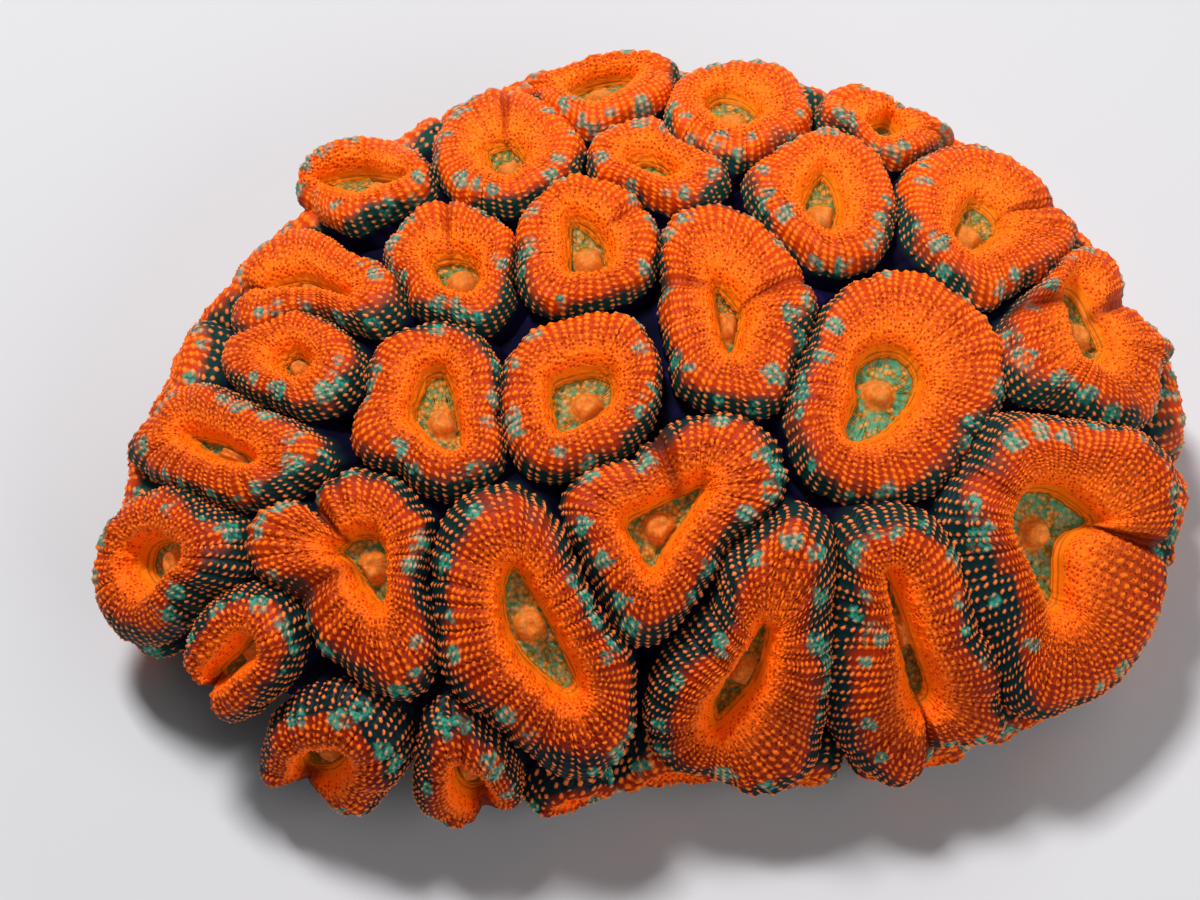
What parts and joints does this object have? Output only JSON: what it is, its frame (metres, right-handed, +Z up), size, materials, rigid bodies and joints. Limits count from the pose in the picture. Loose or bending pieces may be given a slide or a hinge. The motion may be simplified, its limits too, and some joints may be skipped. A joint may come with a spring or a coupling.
{
  "type": "brain coral",
  "caption": "Low dome of living brain coral: crowded, swollen, lobed polyps round sunken discs, cut off flat underneath to rest on a surface.",
  "frame": {"origin": "centre of the flat cut that the colony rests on", "axes": "+Z up out of the flat cut, +X along the colony's long side, to the right in the picture, +Y away from the picture's viewpoint"},
  "size_m": [0.1087, 0.0836, 0.0339],
  "materials": {
    "polyp_flesh": "wet, beaded orange flesh with turquoise patches, as it glows under blue light"
  },
  "bodies": {
    "root": {"coral_colony": "polyp_flesh"}
  },
  "joints": []
}
